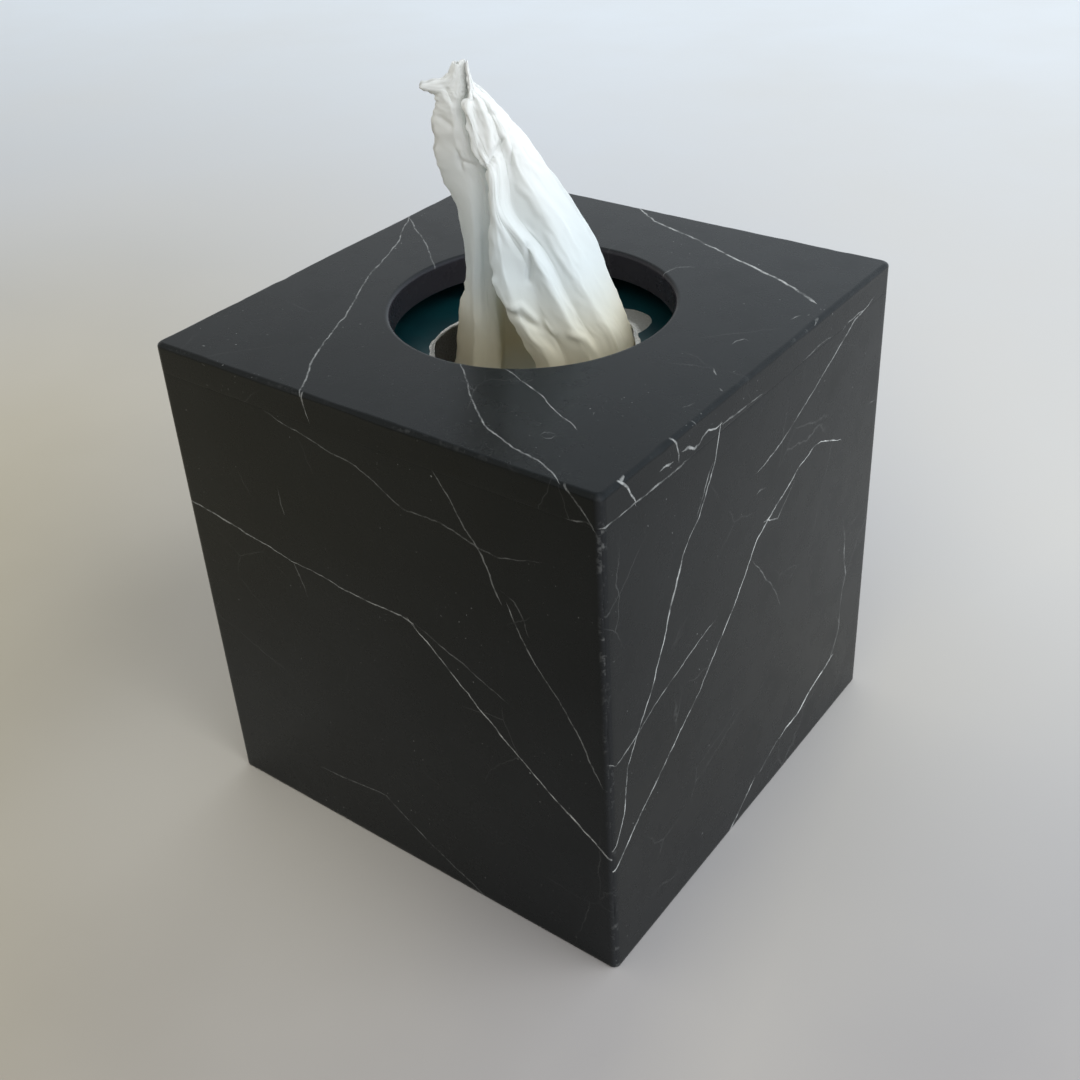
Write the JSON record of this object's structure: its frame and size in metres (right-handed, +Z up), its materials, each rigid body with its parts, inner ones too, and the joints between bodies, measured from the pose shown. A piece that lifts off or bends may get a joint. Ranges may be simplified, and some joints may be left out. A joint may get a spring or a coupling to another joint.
{
  "type": "tissue box",
  "caption": "Square tissue box: a cover of mitred black marble slabs with a round hole in its top, standing over a card carton whose next tissue rises through the hole.",
  "frame": {"origin": "middle of the square foot, on the surface that the box stands on", "axes": "+Z up along the hole's axis, -Y out of the front slab, +X out of the right slab"},
  "size_m": [0.133, 0.133, 0.2],
  "materials": {
    "marble": "honed black marble with thin white veins",
    "card": "plain teal coated card with white torn edges",
    "tissue": "soft white two-ply tissue"
  },
  "bodies": {
    "root": {"top_slab": "marble", "front_slab": "marble", "right_slab": "marble", "back_slab": "marble", "left_slab": "marble", "carton": "card", "tissue_stack": "tissue", "pulled_tissue": "tissue"}
  },
  "joints": []
}
